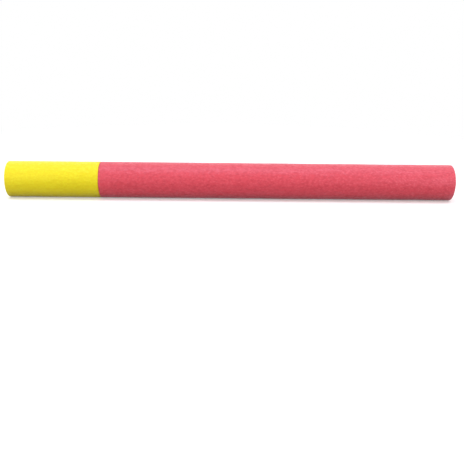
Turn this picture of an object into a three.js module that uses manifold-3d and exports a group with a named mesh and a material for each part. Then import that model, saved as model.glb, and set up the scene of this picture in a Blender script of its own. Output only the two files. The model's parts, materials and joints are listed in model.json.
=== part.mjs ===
// Foam water squirter: a hand pump in a foam tube. A hollow plunger rod with a two-ring piston
// slides in a plastic barrel, and a foam handle on the rod's rear end draws water in through the
// nozzle and pushes it out again. Millimetres, +Z up. The pump's axis runs along X with the
// nozzle at +X. The squirter lies on a table, and its origin is on the table under its middle.

import * as THREE from "three";
import { mergeVertices } from "three/addons/utils/BufferGeometryUtils.js";
import Module from "manifold-3d";

const wasm = await Module();
wasm.setup();

// Foam sleeves
const BARREL_FOAM_LENGTH = 445;
const HANDLE_FOAM_LENGTH = 115;
const FOAM_WALL = 8.2;
const FOAM_EDGE_RADIUS = 1;
const FOAM_REST_FLAT = 0.5; // how far the soft foam settles flat on the table
const SEAM_GAP = 0.3; // between the two sleeves with the plunger pushed home

// Plunger rod and barrel tube
const ROD_DIAMETER = 20;
const ROD_WALL = 1.5;
const TUBE_WALL = 1.5;
const TUBE_CHAMFER = 0.5;

// Clearances
const BOND_GAP = 0.3; // glue line between two fixed pieces
const RUNNING_GAP = 0.3; // rod in its guide
const PISTON_GAP = 0.4; // piston lands in the barrel
const RING_BORE_GAP = 0.1; // piston ring to the barrel's bore
const RING_GROOVE_GAP = 0.2; // piston ring to the floor and sides of its groove
const STOP_GAP = 1.5; // piston to the stop at either end of the stroke

// Flanged bushes that close the facing ends of the barrel and of the handle
const FLANGE_THICKNESS = 3;
const FLANGE_SETBACK = 0.5; // behind the foam's end face
const BUSH_WALL = 1.9;
const BUSH_SPIGOT_LENGTH = 20;
const VENT_COUNT = 4;
const VENT_WIDTH = 3;
const VENT_DEPTH = 0.9;

// Nozzle
const NOZZLE_SETBACK = 4; // the foam reaches past the hard nozzle
const NOZZLE_SPIGOT_LENGTH = 16;
const NOZZLE_WALL = 2.2;
const FUNNEL_SETBACK = 5; // straight mouth before the inside narrows
const ORIFICE_DIAMETER = 4.2;
const ORIFICE_LENGTH = 5;
const TIP_BASE_DIAMETER = 14;
const TIP_DIAMETER = 8.5;
const TIP_HEIGHT = 3;
const TIP_DISH = 1; // depth of the countersink round the orifice

// Piston
const PISTON_SHANK_LENGTH = 24;
const PISTON_WALL = 2.4;
const LAND_WIDTH = 4.5;
const PISTON_FACE_CHAMFER = 1.2;
const RING_SECTION = 2.6;
const RING_COUNT = 2;

// Handle end cap
const CAP_SPIGOT_LENGTH = 15;
const CAP_FLOOR = 2.4;
const CAP_DISH_DEPTH = 1;
const CAP_DISH_MARGIN = 3.5; // flat rim round the dish

// Facets of the round pieces
const SEGMENTS = 48;
const RING_SIDES = 8;
const ARC_STEPS = 2;

// Radii, worked out from the rod outwards
const rodRadius = ROD_DIAMETER / 2;
const rodBoreRadius = rodRadius - ROD_WALL;
const guideBoreRadius = rodRadius + RUNNING_GAP;
const spigotRadius = guideBoreRadius + BUSH_WALL;
const tubeBoreRadius = spigotRadius + BOND_GAP;
const tubeRadius = tubeBoreRadius + TUBE_WALL;
const foamBoreRadius = tubeRadius + BOND_GAP;
const foamRadius = foamBoreRadius + FOAM_WALL;
const landRadius = tubeBoreRadius - PISTON_GAP;
const ringRadius = tubeBoreRadius - RING_BORE_GAP - RING_SECTION / 2;
const grooveRadius = ringRadius - RING_SECTION / 2 - RING_GROOVE_GAP;
const shankRadius = rodBoreRadius - BOND_GAP;

// Places along the axis, from the barrel foam's rear face, with the nozzle at the + end
const guideFlange = FLANGE_SETBACK + FLANGE_THICKNESS;
const guideEnd = guideFlange + BUSH_SPIGOT_LENGTH;
const nozzleFace = BARREL_FOAM_LENGTH - NOZZLE_SETBACK;
const nozzleFlange = nozzleFace - FLANGE_THICKNESS;
const nozzleEnd = nozzleFlange - NOZZLE_SPIGOT_LENGTH;
const tubeStart = guideFlange + BOND_GAP;
const tubeEnd = nozzleFlange - BOND_GAP;
const grooveWidth = RING_SECTION + 2 * RING_GROOVE_GAP;
const pistonLength = (RING_COUNT + 1) * LAND_WIDTH + RING_COUNT * grooveWidth;
const pistonFront = nozzleEnd - STOP_GAP;
const pistonRear = pistonFront - pistonLength;
const stroke = pistonRear - guideEnd - STOP_GAP;
const handleFront = -SEAM_GAP;
const handleRear = handleFront - HANDLE_FOAM_LENGTH;
const handleBushFlange = handleFront - FLANGE_SETBACK - FLANGE_THICKNESS;
const capFace = handleRear + FLANGE_SETBACK;
const capFlange = capFace + FLANGE_THICKNESS;
const handleTubeStart = capFlange + BOND_GAP;
const handleTubeEnd = handleBushFlange - BOND_GAP;
const rodEnd = pistonRear - BOND_GAP;
const rodStart = capFace + CAP_DISH_DEPTH + CAP_FLOOR + BOND_GAP;

// Materials
const finish = (color, roughness) => new THREE.MeshStandardMaterial({ color, roughness, metalness: 0 });
const RED_FOAM = finish(0xe04c5c, 0.6);
const YELLOW_FOAM = finish(0xf0d91e, 0.6);
const WHITE_PLASTIC = finish(0xf1f0ea, 0.4);
const PALE_TUBE = finish(0xe6e9ea, 0.3);
const BLACK_RUBBER = finish(0x1c1c1e, 0.6);

// A profile of [radius, place along the axis] corners, counter-clockwise with the axis on its left,
// turned about X. A facet and not an edge faces down.
function revolve(corners) {
  const profile = corners.map(([radius, along]) => new THREE.Vector2(radius, along));
  const onAxis = profile[0].x === 0 && profile.at(-1).x === 0;
  if (!onAxis) profile.push(profile[0].clone());
  return new THREE.LatheGeometry(profile, SEGMENTS, Math.PI / SEGMENTS).rotateZ(-Math.PI / 2);
}

// The quarter round of an edge in a profile, from angle to angle + 90 degrees about its centre.
function roundedEdge(centreRadius, centreAlong, radius, startDegrees) {
  const start = THREE.MathUtils.degToRad(startDegrees);
  const arc = new THREE.Path().absarc(centreRadius, centreAlong, radius, start, start + Math.PI / 2);
  return arc.getPoints(ARC_STEPS).map((point) => [point.x, point.y]);
}

function solidOf(geometry) {
  const bare = new THREE.BufferGeometry().setIndex(geometry.index);
  bare.setAttribute("position", geometry.getAttribute("position"));
  const merged = mergeVertices(bare, 1e-3);
  return new wasm.Manifold(
    new wasm.Mesh({
      numProp: 3,
      vertProperties: merged.attributes.position.array,
      triVerts: new Uint32Array(merged.index.array),
    }),
  );
}

function geometryOf(solid) {
  const mesh = solid.getMesh();
  const geometry = new THREE.BufferGeometry();
  geometry.setAttribute("position", new THREE.BufferAttribute(mesh.vertProperties, 3));
  geometry.setIndex(new THREE.BufferAttribute(mesh.triVerts, 1));
  geometry.computeVertexNormals();
  return geometry;
}

function cut(geometry, ...tools) {
  return geometryOf(tools.reduce((left, tool) => left.subtract(solidOf(tool)), solidOf(geometry)));
}

function named(name, geometry, material, along = 0) {
  const mesh = new THREE.Mesh(geometry, material);
  mesh.name = name;
  mesh.position.x = along;
  return mesh;
}

// Foam sleeve: a length of thick foam tube with softly rounded cut edges, settled flat underneath.
function foamSleeve(length) {
  const edge = Math.min(FOAM_EDGE_RADIUS, FOAM_WALL / 3);
  const inner = foamBoreRadius + edge;
  const outer = foamRadius - edge;
  const sleeve = revolve([
    ...roundedEdge(inner, edge, edge, 180),
    ...roundedEdge(outer, edge, edge, 270),
    ...roundedEdge(outer, length - edge, edge, 0),
    ...roundedEdge(inner, length - edge, edge, 90),
  ]);
  const tableTop = -foamRadius + FOAM_REST_FLAT;
  const table = new THREE.BoxGeometry(3 * length, 3 * foamRadius, 2 * foamRadius);
  table.translate(length / 2, 0, tableTop - foamRadius);
  return cut(sleeve, table);
}

// A plain tube with chamfered ends.
function tube(outer, wall, length) {
  const bore = outer - wall;
  const chamfer = Math.min(TUBE_CHAMFER, wall / 3);
  return revolve([
    [bore, chamfer],
    [bore + chamfer, 0],
    [outer - chamfer, 0],
    [outer, chamfer],
    [outer, length - chamfer],
    [outer - chamfer, length],
    [bore + chamfer, length],
    [bore, length - chamfer],
  ]);
}

// Flanged bush that guides or holds the rod in the end of a tube. The flange starts at 0 and the
// spigot follows it. Vents along the bore let air past the rod.
function rodBush() {
  const length = FLANGE_THICKNESS + BUSH_SPIGOT_LENGTH;
  const chamfer = Math.min(TUBE_CHAMFER, BUSH_WALL / 3);
  const bush = revolve([
    [guideBoreRadius, chamfer],
    [guideBoreRadius + chamfer, 0],
    [tubeRadius - chamfer, 0],
    [tubeRadius, chamfer],
    [tubeRadius, FLANGE_THICKNESS],
    [spigotRadius, FLANGE_THICKNESS],
    [spigotRadius, length - chamfer],
    [spigotRadius - chamfer, length],
    [guideBoreRadius + chamfer, length],
    [guideBoreRadius, length - chamfer],
  ]);
  const vents = Array.from({ length: VENT_COUNT }, (_, i) => {
    const vent = new THREE.BoxGeometry(3 * length, VENT_WIDTH, 2 * VENT_DEPTH);
    vent.translate(length / 2, 0, guideBoreRadius);
    return vent.rotateX((2 * Math.PI * i) / VENT_COUNT);
  });
  return cut(bush, ...vents);
}

// Nozzle: a flanged plug whose inside narrows to the orifice, with a short spout in front. The
// spigot's inner end is at 0.
function nozzle() {
  const flange = NOZZLE_SPIGOT_LENGTH;
  const face = flange + FLANGE_THICKNESS;
  const tip = face + TIP_HEIGHT;
  const orifice = ORIFICE_DIAMETER / 2;
  const mouth = spigotRadius - NOZZLE_WALL;
  const chamfer = Math.min(TUBE_CHAMFER, NOZZLE_WALL / 3);
  return revolve([
    [mouth, 0],
    [spigotRadius - chamfer, 0],
    [spigotRadius, chamfer],
    [spigotRadius, flange],
    [tubeRadius, flange],
    [tubeRadius, face - chamfer],
    [tubeRadius - chamfer, face],
    [TIP_BASE_DIAMETER / 2, face],
    [TIP_DIAMETER / 2, tip],
    [orifice + TIP_DISH, tip],
    [orifice, tip - TIP_DISH],
    [orifice, tip - ORIFICE_LENGTH],
    [mouth, FUNNEL_SETBACK],
  ]);
}

// Piston: grooved lands in front of a hollow shank that plugs the rod. The lands start at 0.
function piston() {
  const core = shankRadius - PISTON_WALL;
  const corners = [
    [0, pistonLength - PISTON_WALL],
    [core, pistonLength - PISTON_WALL],
    [core, -PISTON_SHANK_LENGTH],
    [shankRadius - TUBE_CHAMFER, -PISTON_SHANK_LENGTH],
    [shankRadius, TUBE_CHAMFER - PISTON_SHANK_LENGTH],
    [shankRadius, 0],
    [landRadius, 0],
  ];
  for (let i = 0; i < RING_COUNT; i++) {
    const start = LAND_WIDTH + i * (LAND_WIDTH + grooveWidth);
    corners.push([landRadius, start], [grooveRadius, start]);
    corners.push([grooveRadius, start + grooveWidth], [landRadius, start + grooveWidth]);
  }
  corners.push([landRadius, pistonLength - PISTON_FACE_CHAMFER]);
  corners.push([landRadius - PISTON_FACE_CHAMFER, pistonLength]);
  corners.push([0, pistonLength]);
  return revolve(corners);
}

// Where a piston ring's middle lies, from the rear of the lands.
const ringPlace = (i) => (i + 1) * LAND_WIDTH + (i + 0.5) * grooveWidth;

function pistonRing() {
  const section = Array.from({ length: RING_SIDES }, (_, i) => {
    const angle = (2 * Math.PI * (i + 0.5)) / RING_SIDES;
    const radius = RING_SECTION / 2;
    return [ringRadius + radius * Math.cos(angle), radius * Math.sin(angle)];
  });
  return revolve(section);
}

// Handle end cap: a dished flange whose spigot plugs the handle tube and holds the rod's end. The
// outer face is at 0.
function endCap() {
  const floor = CAP_DISH_DEPTH + CAP_FLOOR;
  const length = FLANGE_THICKNESS + CAP_SPIGOT_LENGTH;
  const dish = tubeRadius - CAP_DISH_MARGIN;
  const chamfer = Math.min(TUBE_CHAMFER, BUSH_WALL / 3);
  return revolve([
    [0, CAP_DISH_DEPTH],
    [dish - CAP_DISH_DEPTH, CAP_DISH_DEPTH],
    [dish, 0],
    [tubeRadius - chamfer, 0],
    [tubeRadius, chamfer],
    [tubeRadius, FLANGE_THICKNESS],
    [spigotRadius, FLANGE_THICKNESS],
    [spigotRadius, length - chamfer],
    [spigotRadius - chamfer, length],
    [guideBoreRadius + chamfer, length],
    [guideBoreRadius, length - chamfer],
    [guideBoreRadius, floor],
    [0, floor],
  ]);
}

// Barrel: what the front hand holds.
const barrel = new THREE.Group();
barrel.add(
  named("barrel_foam", foamSleeve(BARREL_FOAM_LENGTH), RED_FOAM),
  named("barrel_tube", tube(tubeRadius, TUBE_WALL, tubeEnd - tubeStart), PALE_TUBE, tubeStart),
  named("nozzle", nozzle(), WHITE_PLASTIC, nozzleEnd),
  named("rod_guide_bush", rodBush(), WHITE_PLASTIC, FLANGE_SETBACK),
);

// Plunger: everything that slides with the handle.
const plunger = new THREE.Group();
const handleBush = rodBush().rotateZ(Math.PI);
const handleTube = tube(tubeRadius, TUBE_WALL, handleTubeEnd - handleTubeStart);
plunger.add(
  named("plunger_rod", tube(rodRadius, ROD_WALL, rodEnd - rodStart), WHITE_PLASTIC, rodStart),
  named("piston", piston(), WHITE_PLASTIC, pistonRear),
  named("handle_foam", foamSleeve(HANDLE_FOAM_LENGTH), YELLOW_FOAM, handleRear),
  named("handle_tube", handleTube, PALE_TUBE, handleTubeStart),
  named("handle_bush", handleBush, WHITE_PLASTIC, handleFront - FLANGE_SETBACK),
  named("handle_end_cap", endCap(), WHITE_PLASTIC, capFace),
);
for (let i = 0; i < RING_COUNT; i++) {
  plunger.add(named(`piston_ring_${i + 1}`, pistonRing(), BLACK_RUBBER, pistonRear + ringPlace(i)));
}

// The whole squirter is centred over the origin, with its axis at the height that the settled foam gives.
const overallLength = BARREL_FOAM_LENGTH + SEAM_GAP + HANDLE_FOAM_LENGTH;
const squirter = new THREE.Group();
squirter.name = "foam_water_squirter";
squirter.add(barrel, plunger);
for (const half of [barrel, plunger]) {
  half.position.set(overallLength / 2 - BARREL_FOAM_LENGTH, 0, foamRadius - FOAM_REST_FLAT);
}
console.log(`stroke ${stroke.toFixed(1)} mm, overall length ${overallLength.toFixed(1)} mm`);

export default squirter;
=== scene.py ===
# Foam water squirter: looks. Two sleeves of closed-cell foam tube, a raspberry-red barrel and a
# lemon-yellow handle, over a white plastic pump. Metres, +Z up, the pump's axis along X with the
# nozzle at +X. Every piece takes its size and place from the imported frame.

import json
import math

import bpy
import numpy as np
from mathutils import Matrix, Vector, noise


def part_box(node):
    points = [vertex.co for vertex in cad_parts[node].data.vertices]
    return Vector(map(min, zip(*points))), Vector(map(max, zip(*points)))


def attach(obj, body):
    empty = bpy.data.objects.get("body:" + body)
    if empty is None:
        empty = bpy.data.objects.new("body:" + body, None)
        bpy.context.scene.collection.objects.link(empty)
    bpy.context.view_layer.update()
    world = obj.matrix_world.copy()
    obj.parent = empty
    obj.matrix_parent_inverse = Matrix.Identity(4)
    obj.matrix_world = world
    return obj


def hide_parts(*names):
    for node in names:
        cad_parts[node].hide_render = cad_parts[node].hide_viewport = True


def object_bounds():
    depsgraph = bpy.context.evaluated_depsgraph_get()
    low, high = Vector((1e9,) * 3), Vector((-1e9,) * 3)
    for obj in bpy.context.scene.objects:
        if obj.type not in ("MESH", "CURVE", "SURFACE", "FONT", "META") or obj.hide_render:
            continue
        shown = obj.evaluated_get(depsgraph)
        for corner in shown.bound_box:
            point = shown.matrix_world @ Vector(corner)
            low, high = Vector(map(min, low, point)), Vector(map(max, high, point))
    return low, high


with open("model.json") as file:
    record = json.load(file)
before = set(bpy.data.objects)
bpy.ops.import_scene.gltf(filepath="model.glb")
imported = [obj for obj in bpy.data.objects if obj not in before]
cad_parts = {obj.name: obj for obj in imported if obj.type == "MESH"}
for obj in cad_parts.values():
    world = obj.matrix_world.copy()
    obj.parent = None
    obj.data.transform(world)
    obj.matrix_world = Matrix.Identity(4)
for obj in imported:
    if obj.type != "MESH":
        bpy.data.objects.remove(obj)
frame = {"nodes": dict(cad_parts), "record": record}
cad_low, cad_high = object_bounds()

MM = 0.001

# What the pieces share
BODIES = frame["record"]["behaviour"]["bodies"]
BODY_OF = {cad_node: body for body, nodes in BODIES.items() for cad_node in nodes}
SLOT_OF = {part["node"]: part["material_slot"] for part in frame["record"]["subparts"]}
foam_low, foam_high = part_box("barrel_foam")
tube_low, tube_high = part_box("barrel_tube")
FOAM_RADIUS = (foam_high.y - foam_low.y) / 2
AXIS_Z = foam_high.z - FOAM_RADIUS
BOND_GAP = 0.3 * MM
BORE_RADIUS = (tube_high.y - tube_low.y) / 2 + BOND_GAP

# Pieces other than the foam sleeves
PLAIN_PIECES = (
    "barrel_tube",
    "nozzle",
    "plunger_rod",
    "piston",
    "handle_tube",
    "handle_end_cap",
    "piston_ring_1",
    "piston_ring_2",
)
BUSHES = ("rod_guide_bush", "handle_bush")

# Foam surface
FOAM_STEP = 0.9 * MM
FOAM_SEGMENTS = 168
BORE_STEPS = 24
EDGE_RADIUS = 0.45 * MM
EDGE_STEPS = 4
SWELL_HEIGHT = 0.16 * MM
SWELL_LENGTH = 34 * MM
RIPPLE_HEIGHT = 0.08 * MM
RIPPLE_LENGTH = 3.6 * MM
RIPPLE_STRETCH = 1.4
CUT_WAVE_HEIGHT = 0.12 * MM
CUT_WAVE_LENGTH = 9 * MM
CUT_WAVE_DEPTH = 3 * MM
CUT_CELL_HEIGHT = 0.1 * MM
CUT_CELL_LENGTH = 1.7 * MM
FLOOR_SOFTNESS = 0.15 * MM
PITS_PER_SQUARE_METRE = 900
PIT_RADIUS = (0.8 * MM, 1.5 * MM)
PIT_DEPTH = (0.12 * MM, 0.35 * MM)

# Round plastic and rubber pieces
ROUND_SEGMENTS = 144
FILLET_RADIUS = 0.35 * MM
FILLET_SHARE = 0.4  # the most of a side that the fillet at one of its ends takes
FILLET_STEPS = 3
SECTION_DEGREES = 41.25  # a facet edge of the solids, clear of the vents
SECTION_TOLERANCE_DEGREES = 0.2
SECTION_DECIMALS = 6
AXIS_TOLERANCE = 0.01 * MM
WELD_DISTANCE = 0.001 * MM
VENT_COUNT = 4
VENT_HALF_WIDTH = 1.5 * MM
VENT_DEPTH = 0.9 * MM

# Textures. A scale counts features in a metre, a stretch below 1 draws them out along the tube, a
# span is the part of a pattern's values that counts, and a share is how much it colours the piece.
NOISE_SPAN = (0.3, 0.7)  # where nearly all values of a noise lie

# Foam texture
DOME_SCALE = 520
DOME_STRETCH = 0.65
DOME_SPAN = (0, 0.75)
DOME_TONE_SPAN = (0.1, 0.8)
MOTTLE_SCALE = 330
MOTTLE_DETAIL = 2
MOTTLE_SPAN = (0.4, 0.7)
MOTTLE_RELIEF = 4
CLOUD_SCALE = 26
CLOUD_DETAIL = 3
CLOUD_SPAN = (0.35, 0.7)
CLOUD_SHARE = 0.12
STREAK_SCALE = 420
STREAK_STRETCH = 0.06
STREAK_DETAIL = 3
STREAK_SPAN = (0.45, 0.75)
STREAK_SHARE = 0.22
STREAK_RELIEF = 0.4
# Pinholes: hollows in the relief, darkened with painted shade as shade would fall in them
PINHOLE_SCALE = 120
PINHOLE_SPAN = (0.5, 1)  # half of the places for a pinhole have one
PINHOLE_SIZE = 0.085
PINHOLE_SHADE = 0.75
# Open cells on cut faces: pores in the relief, darkened with painted shade as shade would fall in them
CELL_SCALE = 640
CELL_SPAN = (0.15, 0.5)
CELL_SHADE = 0.85
CUT_FACING = (0.5, 0.9)  # how squarely a cut face looks along the tube
FOAM_ROUGHNESS = (0.43, 0.58)
FOAM_SPECULAR = 1.1
FOAM_SHEEN = 0.12
FOAM_SHEEN_ROUGHNESS = 0.55
FOAM_BUMP = 0.55
FOAM_BUMP_DEPTH = 0.25 * MM

# Plastic and rubber texture
GRAIN_DETAIL = 4
GRAIN_BUMP = 0.12
GRAIN_BUMP_DEPTH = 0.06 * MM
SMOOTHER = 0.07  # how far the grain lowers a plastic's roughness
ROUGHER = 0.09  # and how far it raises it
TINT_SCALE = 45
TINT_DETAIL = 3
TINT_SPAN = (0.35, 0.75)
TINT_SHARE = 0.6
SCUFF_SCALE = 900
SCUFF_STRETCH = 0.15
SCUFF_DETAIL = 2
SCUFF_SPAN = (0.66, 0.78)
SCUFF_SHARE = 0.35
BLOOM_SCALE = 380
BLOOM_DETAIL = 4
BLOOM_SPAN = (0.35, 0.75)
BLOOM_BUMP = 0.2
BLOOM_BUMP_DEPTH = 0.05 * MM
RUBBER_ROUGHNESS = (0.4, 0.62)

# Camera, as the photograph is framed, with its sensor and lens in millimetres
IMAGE_SIZE = 464
SENSOR_WIDTH = 36
LENS = 48
SQUIRTER_PIXELS = 438  # its length in the picture
RAISED_PIXELS = 51.3  # its axis above the picture's centre
LEFT_PIXELS = 1.6  # its middle left of the picture's centre
LOOK_DOWN_DEGREES = 12.5
TURN_DEGREES = 1  # how far the camera stands round towards the handle
ROLL_DEGREES = 0.76

# Studio, with lamps in watts
AMBIENT = 0.42
FLOOR_SIZE = 12
FLOOR_COLOUR = (0.93, 0.93, 0.93, 1)
FLOOR_BOUNCE_COLOUR = (0.24, 0.24, 0.24, 1)
FLOOR_LIFT = 0.2
FLOOR_FADE = (0.25, 0.75)  # distances at which it starts to turn white and is white
WHITE = (1, 1, 1)
COOL_WHITE = (0.86, 0.93, 1)
OVERHEAD_PLACE = (0, -0.15, 1.25)
OVERHEAD_SIZE = (1.7, 0.35)
OVERHEAD_POWER = 8.5
RIM_PLACE = (0, 1.3, 1)
RIM_SIZE = (1.7, 0.4)
RIM_POWER = 3
SIDE_DISTANCE = 1.3  # to the left and to the right
SIDE_DEPTH = 1.1  # to the front and to the back
SIDE_HEIGHT = 0.55
SIDE_SIZE = (0.9, 0.9)
FRONT_POWER = 10.5
BACK_POWER = 6.5


# Shader helpers


def fill(tree, target, inputs):
    """Sets a node's inputs to numbers or colours, or links them to other nodes' outputs."""
    for key, value in inputs.items():
        socket = target.inputs[key]
        if isinstance(value, bpy.types.NodeSocket):
            tree.links.new(value, socket)
        else:
            socket.default_value = value


def node(tree, kind, inputs=None, **settings):
    made = tree.nodes.new(kind)
    for key, value in settings.items():
        setattr(made, key, value)
    fill(tree, made, inputs or {})
    return made


def new_material(name):
    material = bpy.data.materials.new(name)
    material.use_nodes = True
    tree = material.node_tree
    return material, tree, tree.nodes["Principled BSDF"]


def eased(tree, value, span, result=(0, 1)):
    """A value that runs over the span, eased so that it runs over the result."""
    inputs = {
        "Value": value,
        "From Min": span[0],
        "From Max": span[1],
        "To Min": result[0],
        "To Max": result[1],
    }
    made = node(tree, "ShaderNodeMapRange", inputs, interpolation_type="SMOOTHSTEP")
    return made.outputs["Result"]


def mixed(tree, factor, first, second):
    """Two colours mixed. The mix node has sockets for each kind of value: 6, 7 and 2 are colours."""
    made = node(tree, "ShaderNodeMix", {0: factor, 6: first, 7: second}, data_type="RGBA")
    return made.outputs[2]


def calculate(tree, operation, first, second=0):
    made = node(tree, "ShaderNodeMath", {0: first, 1: second}, operation=operation)
    return made.outputs["Value"]


def stretched(tree, place, along):
    """Texture coordinates in which a pattern is drawn out along the tube."""
    made = node(tree, "ShaderNodeMapping", {"Vector": place, "Scale": (along, 1, 1)})
    return made.outputs["Vector"]


def noise_texture(tree, place, scale, detail):
    inputs = {"Vector": place, "Scale": scale, "Detail": detail}
    return node(tree, "ShaderNodeTexNoise", inputs).outputs["Fac"]


def cell_texture(tree, place, scale):
    return node(tree, "ShaderNodeTexVoronoi", {"Vector": place, "Scale": scale}).outputs


def bumped(tree, height, strength, depth):
    inputs = {"Height": height, "Strength": strength, "Distance": depth}
    return node(tree, "ShaderNodeBump", inputs).outputs["Normal"]


# Materials


def pinhole_pattern(tree, place):
    """1 in pinholes of different sizes and 0 between them."""
    cells = cell_texture(tree, place, PINHOLE_SCALE)
    draw = node(tree, "ShaderNodeSeparateColor", {"Color": cells["Color"]}).outputs["Red"]
    size = eased(tree, draw, PINHOLE_SPAN, (0, PINHOLE_SIZE))
    return calculate(tree, "LESS_THAN", cells["Distance"], size)


def open_cell_pattern(tree, place, normal):
    """1 in the middle of the open cells on cut faces, and 0 on the skin."""
    facing = node(tree, "ShaderNodeSeparateXYZ", {"Vector": normal}).outputs["X"]
    cut = eased(tree, calculate(tree, "ABSOLUTE", facing), CUT_FACING)
    distance = cell_texture(tree, place, CELL_SCALE)["Distance"]
    return calculate(tree, "MULTIPLY", cut, eased(tree, distance, CELL_SPAN, (1, 0)))


def foam_material(name, skin, deep, pale, sheen, gloss, mottling):
    """Closed-cell foam: a skin of low domes and fine streaks drawn out along the tube, with
    pinholes, and cut faces that show open cells. The pinholes and open cells are darkened with
    painted shade."""
    material, tree, shader = new_material(name)
    coordinates = node(tree, "ShaderNodeTexCoord").outputs
    place = coordinates["Object"]
    along = stretched(tree, place, DOME_STRETCH)
    drawn_out = stretched(tree, place, STREAK_STRETCH)
    domes = eased(tree, cell_texture(tree, along, DOME_SCALE)["Distance"], DOME_SPAN, (1, 0))
    mottle = noise_texture(tree, along, MOTTLE_SCALE, MOTTLE_DETAIL)
    cloud = noise_texture(tree, along, CLOUD_SCALE, CLOUD_DETAIL)
    streaks = noise_texture(tree, drawn_out, STREAK_SCALE, STREAK_DETAIL)
    pinhole = pinhole_pattern(tree, place)
    open_cell = open_cell_pattern(tree, place, coordinates["Normal"])

    tone = mixed(tree, eased(tree, domes, DOME_TONE_SPAN), skin, pale)
    deepened = (
        eased(tree, mottle, MOTTLE_SPAN, (0, mottling)),
        eased(tree, cloud, CLOUD_SPAN, (0, CLOUD_SHARE)),
        eased(tree, streaks, STREAK_SPAN, (0, STREAK_SHARE)),
        # Painted shade in the open cells of the cut faces
        calculate(tree, "MULTIPLY", open_cell, CELL_SHADE),
        # Painted shade in the pinholes
        calculate(tree, "MULTIPLY", pinhole, PINHOLE_SHADE),
    )
    for share in deepened:
        tone = mixed(tree, share, tone, deep)

    relief = calculate(tree, "ADD", calculate(tree, "MULTIPLY", mottle, MOTTLE_RELIEF), domes)
    relief = calculate(tree, "ADD", relief, calculate(tree, "MULTIPLY", streaks, STREAK_RELIEF))
    relief = calculate(tree, "SUBTRACT", relief, open_cell)
    relief = calculate(tree, "SUBTRACT", relief, pinhole)
    finish = {
        "Base Color": tone,
        "Roughness": eased(tree, mottle, NOISE_SPAN, FOAM_ROUGHNESS),
        "Specular IOR Level": FOAM_SPECULAR,
        "Specular Tint": gloss,
        "Sheen Weight": FOAM_SHEEN,
        "Sheen Roughness": FOAM_SHEEN_ROUGHNESS,
        "Sheen Tint": sheen,
        "Normal": bumped(tree, relief, FOAM_BUMP, FOAM_BUMP_DEPTH),
    }
    fill(tree, shader, finish)
    return material


def plastic_material(name, colour, deep, roughness, grain, along):
    """Smooth plastic with a fine grain. A small along draws the grain out into lines on the tube."""
    material, tree, shader = new_material(name)
    place = node(tree, "ShaderNodeTexCoord").outputs["Object"]
    fine = noise_texture(tree, stretched(tree, place, along), grain, GRAIN_DETAIL)
    tint = noise_texture(tree, place, TINT_SCALE, TINT_DETAIL)
    scuffs = noise_texture(tree, stretched(tree, place, SCUFF_STRETCH), SCUFF_SCALE, SCUFF_DETAIL)
    tone = mixed(tree, eased(tree, tint, TINT_SPAN, (0, TINT_SHARE)), colour, deep)
    tone = mixed(tree, eased(tree, scuffs, SCUFF_SPAN, (0, SCUFF_SHARE)), tone, deep)
    finish = {
        "Base Color": tone,
        "Roughness": eased(tree, fine, NOISE_SPAN, (roughness - SMOOTHER, roughness + ROUGHER)),
        "Normal": bumped(tree, fine, GRAIN_BUMP, GRAIN_BUMP_DEPTH),
    }
    fill(tree, shader, finish)
    return material


def rubber_material(name, colour, bloomed):
    """Black rubber with a faint dusty bloom."""
    material, tree, shader = new_material(name)
    place = node(tree, "ShaderNodeTexCoord").outputs["Object"]
    bloom = noise_texture(tree, place, BLOOM_SCALE, BLOOM_DETAIL)
    finish = {
        "Base Color": mixed(tree, eased(tree, bloom, BLOOM_SPAN), colour, bloomed),
        "Roughness": eased(tree, bloom, NOISE_SPAN, RUBBER_ROUGHNESS),
        "Normal": bumped(tree, bloom, BLOOM_BUMP, BLOOM_BUMP_DEPTH),
    }
    fill(tree, shader, finish)
    return material


MATERIALS = {
    "red_foam": foam_material(
        "red_foam",
        skin=(0.79, 0.037, 0.051, 1),
        deep=(0.65, 0.021, 0.029, 1),
        pale=(0.83, 0.063, 0.084, 1),
        sheen=(0.85, 0.85, 1, 1),
        gloss=(0.45, 0.75, 1, 1),
        mottling=0.65,
    ),
    "yellow_foam": foam_material(
        "yellow_foam",
        skin=(0.93, 0.75, 0.005, 1),
        deep=(0.82, 0.6, 0.003, 1),
        pale=(0.95, 0.81, 0.012, 1),
        sheen=(1, 0.95, 0.3, 1),
        gloss=(1, 0.93, 0.3, 1),
        mottling=0.25,
    ),
    "white_plastic": plastic_material(
        "white_plastic",
        colour=(0.82, 0.82, 0.79, 1),
        deep=(0.74, 0.74, 0.7, 1),
        roughness=0.4,
        grain=2400,
        along=1,
    ),
    "white_rod": plastic_material(
        "white_rod",
        colour=(0.78, 0.78, 0.76, 1),
        deep=(0.72, 0.72, 0.7, 1),
        roughness=0.3,
        grain=1500,
        along=0.03,
    ),
    "pale_tube": plastic_material(
        "pale_tube",
        colour=(0.74, 0.77, 0.78, 1),
        deep=(0.66, 0.7, 0.72, 1),
        roughness=0.25,
        grain=1300,
        along=0.03,
    ),
    "ring_rubber": rubber_material(
        "ring_rubber",
        colour=(0.014, 0.014, 0.016, 1),
        bloomed=(0.035, 0.035, 0.037, 1),
    ),
}


# Round meshes


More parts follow.
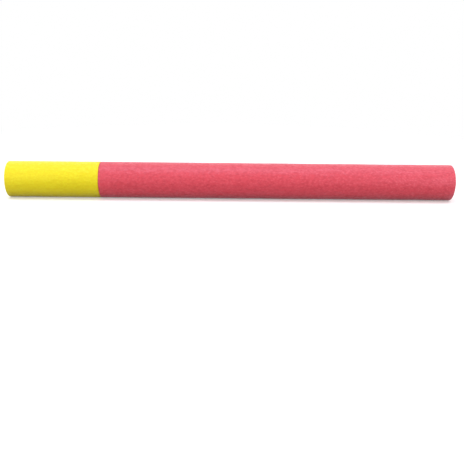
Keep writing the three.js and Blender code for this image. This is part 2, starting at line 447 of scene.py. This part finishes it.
def round_piece(cad_node, grid, closed):
    """A smooth piece that stands for a CAD node: a grid of points, [turn, profile point, xyz],
    joined into quads all round the axis. A closed profile also joins its last point to its first."""
    turns, points, _ = grid.shape
    faces = []
    for turn in range(turns):
        here = turn * points
        beside = (turn + 1) % turns * points
        for point in range(points if closed else points - 1):
            after = (point + 1) % points
            faces.append((here + point, beside + point, beside + after, here + after))
    mesh = bpy.data.meshes.new(cad_node + "_looks")
    mesh.from_pydata(grid.reshape(-1, 3).tolist(), [], faces)
    mesh.polygons.foreach_set("use_smooth", [True] * len(faces))
    mesh.materials.append(MATERIALS[SLOT_OF[cad_node]])
    piece = bpy.data.objects.new(cad_node + "_looks", mesh)
    bpy.context.scene.collection.objects.link(piece)
    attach(piece, BODY_OF[cad_node])
    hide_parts(cad_node)
    return piece


def all_round(profile, turns):
    """The angle of each turn, as a column, and the columns of the profile repeated at every turn."""
    angles = math.tau * np.arange(turns)[:, None] / turns
    return angles, *(np.repeat(column[None], turns, axis=0) for column in profile.T)


def turned(along, radius, angles):
    """The grid of a profile turned to each angle. along and radius are [turn, profile point]."""
    return np.stack((along, radius * np.cos(angles), AXIS_Z + radius * np.sin(angles)), axis=2)


# Foam sleeves


def noise_field(points, length, stretch=1.0):
    """Smooth noise of about -1 to 1 at each point, with features of the given length."""
    scaled = points / (length * np.array((stretch, 1, 1)))
    flat = [noise.noise(Vector(point)) for point in scaled.reshape(-1, 3).tolist()]
    return np.array(flat).reshape(points.shape[:-1])


def sleeve_profile(length):
    """A sleeve's section in order: rear cut face, outer skin, front cut face, bore. Columns are the
    place along, the radius and skin, which is 1 on the outer skin and 0 on cut faces and bore."""
    edge = EDGE_RADIUS
    inner = BORE_RADIUS + edge
    outer = FOAM_RADIUS - edge
    face_steps = round((outer - inner) / FOAM_STEP)
    skin_steps = round((length - 2 * edge) / FOAM_STEP)

    def straight(start, end, steps, skin):
        shares = np.arange(1, steps) / steps
        return [(*(np.array(start) + (np.array(end) - start) * share), skin) for share in shares]

    def corner(along, radius, start_degrees, skin_start, skin_end):
        shares = np.arange(EDGE_STEPS + 1) / EDGE_STEPS
        turns = np.radians(start_degrees + 90 * shares)
        skins = skin_start + (skin_end - skin_start) * shares
        return [
            (along + edge * math.sin(turn), radius + edge * math.cos(turn), skin)
            for turn, skin in zip(turns, skins)
        ]

    return np.array(
        [
            *corner(edge, inner, 180, 0, 0),
            *straight((0, inner), (0, outer), face_steps, 0),
            *corner(edge, outer, 270, 0, 1),
            *straight((edge, FOAM_RADIUS), (length - edge, FOAM_RADIUS), skin_steps, 1),
            *corner(length - edge, outer, 0, 1, 0),
            *straight((length, outer), (length, inner), face_steps, 0),
            *corner(length - edge, inner, 90, 0, 0),
            *straight((length - edge, BORE_RADIUS), (edge, BORE_RADIUS), BORE_STEPS, 0),
        ]
    )


def pitted(radius, along, angles, skin, length, seed):
    """The radius with small round dents in the skin, at random places."""
    draw = np.random.default_rng(seed)
    count = round(PITS_PER_SQUARE_METRE * length * math.tau * FOAM_RADIUS)
    for _ in range(count):
        middle = draw.uniform(0, length)
        turn = draw.uniform(0, math.tau)
        reach = draw.uniform(*PIT_RADIUS)
        depth = draw.uniform(*PIT_DEPTH)
        sideways = FOAM_RADIUS * ((angles - turn + math.pi) % math.tau - math.pi)
        nearness = 1 - np.hypot(along - middle, sideways) / reach
        radius = radius - skin * depth * np.clip(nearness, 0, 1) ** 2
    return radius


def settled(height):
    """Heights that run out softly onto the floor."""
    return (height + np.sqrt(height**2 + FLOOR_SOFTNESS**2)) / 2


def foam_sleeve(cad_node, seed):
    """A foam tube with a slow swell, ripples, dents and wavy cut ends, flat where it lies."""
    low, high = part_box(cad_node)
    length = high.x - low.x
    angles, along, radius, skin = all_round(sleeve_profile(length), FOAM_SEGMENTS)

    # The seed moves each sleeve to its own stretch of the noise
    places = turned(along + low.x, radius, angles) + np.array((seed, 0, 0))
    swell = SWELL_HEIGHT * noise_field(places, SWELL_LENGTH)
    ripple = RIPPLE_HEIGHT * noise_field(places, RIPPLE_LENGTH, RIPPLE_STRETCH)
    wave = CUT_WAVE_HEIGHT * noise_field(places, CUT_WAVE_LENGTH)
    cells = CUT_CELL_HEIGHT * noise_field(places, CUT_CELL_LENGTH)

    cut = 1 - skin
    towards_end = np.where(along < length / 2, -1, 1)
    end_distance = np.minimum(along, length - along)
    near_end = np.clip(1 - end_distance / CUT_WAVE_DEPTH, 0, 1)
    radius = pitted(radius + skin * (swell + ripple), along, angles, skin, length, seed)
    along = along + near_end * (wave + towards_end * cut * cells)

    grid = turned(along + low.x, radius, angles)
    grid[:, :, 2] = settled(grid[:, :, 2])
    piece = round_piece(cad_node, grid, closed=True)


# Plastic and rubber pieces


def section_links(cad_node):
    """Each corner of a round CAD solid's section, as (along, radius), with the corners that it is
    joined to. They are read at one facet edge and on the axis."""
    mesh = frame["nodes"][cad_node].data
    links = {}
    for edge in mesh.edges:
        ends = []
        for index in edge.vertices:
            x, y, z = mesh.vertices[index].co
            radius = math.hypot(y, z - AXIS_Z)
            off_section = abs(math.degrees(math.atan2(z - AXIS_Z, y)) - SECTION_DEGREES)
            if radius < AXIS_TOLERANCE or off_section < SECTION_TOLERANCE_DEGREES:
                ends.append((round(x, SECTION_DECIMALS), round(radius, SECTION_DECIMALS)))
        if len(ends) == 2 and ends[0] != ends[1]:
            links.setdefault(ends[0], []).append(ends[1])
            links.setdefault(ends[1], []).append(ends[0])
    return links


def section(cad_node):
    """The section's corners in order, and whether the last one is joined to the first. An open
    section starts and ends on the axis."""
    links = section_links(cad_node)
    here = min(links, key=lambda corner: (len(set(links[corner])), corner))
    corners = []
    while here:
        corners.append(here)
        here = next((corner for corner in links[here] if corner not in corners), None)
    closed = len(set(links[corners[0]])) == 2
    following = corners[1:] + corners[:1]
    area = sum(a[0] * b[1] - b[0] * a[1] for a, b in zip(corners, following))
    return (corners if area < 0 else corners[::-1]), closed


def filleted(corners, closed):
    """The profile with each corner rounded off, by less where its sides are short."""
    points = []
    count = len(corners)
    for i, corner in enumerate(corners):
        if not closed and i in (0, count - 1):
            points.append(corner)
            continue
        here = Vector(corner)
        before = Vector(corners[i - 1]) - here
        after = Vector(corners[(i + 1) % count]) - here
        reach = min(FILLET_RADIUS, FILLET_SHARE * before.length, FILLET_SHARE * after.length)
        start = here + before.normalized() * reach
        end = here + after.normalized() * reach
        for step in range(FILLET_STEPS + 1):
            share = step / FILLET_STEPS
            rest = 1 - share
            points.append(rest**2 * start + 2 * share * rest * here + share**2 * end)
    return np.array([tuple(point) for point in points])


def vented(radius, angles):
    """The radii of a bush whose bore has air vents cut along it."""
    bore = radius.min()
    pitch = math.tau / VENT_COUNT
    off_vent = np.abs((angles + pitch / 2) % pitch - pitch / 2)
    floor = (bore + VENT_DEPTH) / np.cos(off_vent)
    in_vent = floor * np.sin(off_vent) < VENT_HALF_WIDTH
    return np.where(in_vent, np.maximum(radius, floor), radius)


def turned_piece(cad_node, vents=False):
    """A piece turned from its solid's section, with small fillets."""
    corners, closed = section(cad_node)
    angles, along, radius = all_round(filleted(corners, closed), ROUND_SEGMENTS)
    if vents:
        radius = vented(radius, angles)
    piece = round_piece(cad_node, turned(along, radius, angles), closed)
    weld = piece.modifiers.new("weld", "WELD")
    weld.merge_threshold = WELD_DISTANCE
    piece.modifiers.new("normals", "WEIGHTED_NORMAL")


foam_sleeve("barrel_foam", seed=1)
foam_sleeve("handle_foam", seed=2)
for plain in PLAIN_PIECES:
    turned_piece(plain)
for bush in BUSHES:
    turned_piece(bush, vents=True)


# Floor, light and camera


def seen_directly(tree):
    """1 for what the camera, a reflection or glass shows, and 0 for light that falls on the object."""
    rays = node(tree, "ShaderNodeLightPath").outputs
    seen = calculate(tree, "MAXIMUM", rays["Is Camera Ray"], rays["Is Glossy Ray"])
    return calculate(tree, "MAXIMUM", seen, rays["Is Transmission Ray"])


def floor_material():
    """A pale matt floor that runs out into plain white."""
    material, tree, shader = new_material("floor")
    tree.nodes.remove(shader)
    seen = seen_directly(tree)
    place = node(tree, "ShaderNodeTexCoord").outputs["Object"]
    away = node(tree, "ShaderNodeVectorMath", {0: place}, operation="LENGTH").outputs["Value"]
    far = calculate(tree, "MULTIPLY", seen, eased(tree, away, FLOOR_FADE))
    pale = mixed(tree, seen, FLOOR_BOUNCE_COLOUR, FLOOR_COLOUR)
    matt = node(tree, "ShaderNodeBsdfDiffuse", {"Color": pale}).outputs["BSDF"]
    lift = calculate(tree, "MULTIPLY", seen, FLOOR_LIFT)
    glow = node(tree, "ShaderNodeEmission", {"Strength": lift}).outputs["Emission"]
    near = node(tree, "ShaderNodeAddShader", {0: matt, 1: glow}).outputs["Shader"]
    white = node(tree, "ShaderNodeEmission", {"Strength": 1}).outputs["Emission"]
    whole = node(tree, "ShaderNodeMixShader", {0: far, 1: near, 2: white}).outputs["Shader"]
    fill(tree, tree.nodes["Material Output"], {"Surface": whole})
    return material


def add_floor():
    """The floor that takes the object's shadow."""
    half = FLOOR_SIZE / 2
    corners = [(-half, -half, 0), (half, -half, 0), (half, half, 0), (-half, half, 0)]
    mesh = bpy.data.meshes.new("floor")
    mesh.from_pydata(corners, [], [(0, 1, 2, 3)])
    mesh.materials.append(floor_material())
    floor = bpy.data.objects.new("floor", mesh)
    bpy.context.scene.collection.objects.link(floor)


def add_world():
    """Soft even light from all round, and plain white where the camera or a reflection looks past."""
    world = bpy.data.worlds.new("studio")
    world.use_nodes = True
    tree = world.node_tree
    strength = eased(tree, seen_directly(tree), (0, 1), (AMBIENT, 1))
    fill(tree, tree.nodes["Background"], {"Color": (*WHITE, 1), "Strength": strength})
    bpy.context.scene.world = world


def add_lamp(name, place, size, power, colour):
    """A soft box that faces the object."""
    light = bpy.data.lights.new(name, "AREA")
    light.shape = "RECTANGLE"
    light.size, light.size_y = size
    light.energy = power
    light.color = colour
    lamp = bpy.data.objects.new(name, light)
    lamp.location = place
    lamp.rotation_euler = (-Vector(place)).to_track_quat("-Z", "Y").to_euler()
    bpy.context.scene.collection.objects.link(lamp)


def add_camera():
    """A camera that shows the object where the photograph does."""
    data = bpy.data.cameras.new("camera")
    data.sensor_width = SENSOR_WIDTH
    data.lens = LENS
    focal = LENS / SENSOR_WIDTH * IMAGE_SIZE
    length = cad_high.x - cad_low.x
    distance = focal * length / SQUIRTER_PIXELS
    down = math.radians(LOOK_DOWN_DEGREES)
    pitch = down + math.atan2(RAISED_PIXELS, focal)
    aside = LEFT_PIXELS * length / SQUIRTER_PIXELS
    height = AXIS_Z + distance * math.sin(down)
    place = Matrix.Translation((aside, -distance * math.cos(down), height))
    turn = Matrix.Rotation(math.radians(-TURN_DEGREES), 4, "Z")
    tilt = Matrix.Rotation(math.pi / 2 - pitch, 4, "X")
    roll = Matrix.Rotation(math.radians(ROLL_DEGREES), 4, "Z")
    camera = bpy.data.objects.new("camera", data)
    camera.matrix_world = turn @ place @ tilt @ roll
    bpy.context.scene.collection.objects.link(camera)
    bpy.context.scene.camera = camera


bpy.context.scene.view_settings.view_transform = "Standard"
add_floor()
add_world()
add_lamp("overhead", OVERHEAD_PLACE, OVERHEAD_SIZE, OVERHEAD_POWER, COOL_WHITE)
add_lamp("rim", RIM_PLACE, RIM_SIZE, RIM_POWER, COOL_WHITE)
for side, across in (("left", -SIDE_DISTANCE), ("right", SIDE_DISTANCE)):
    add_lamp("front_" + side, (across, -SIDE_DEPTH, SIDE_HEIGHT), SIDE_SIZE, FRONT_POWER, WHITE)
    add_lamp("back_" + side, (across, SIDE_DEPTH, SIDE_HEIGHT), SIDE_SIZE, BACK_POWER, WHITE)
add_camera()
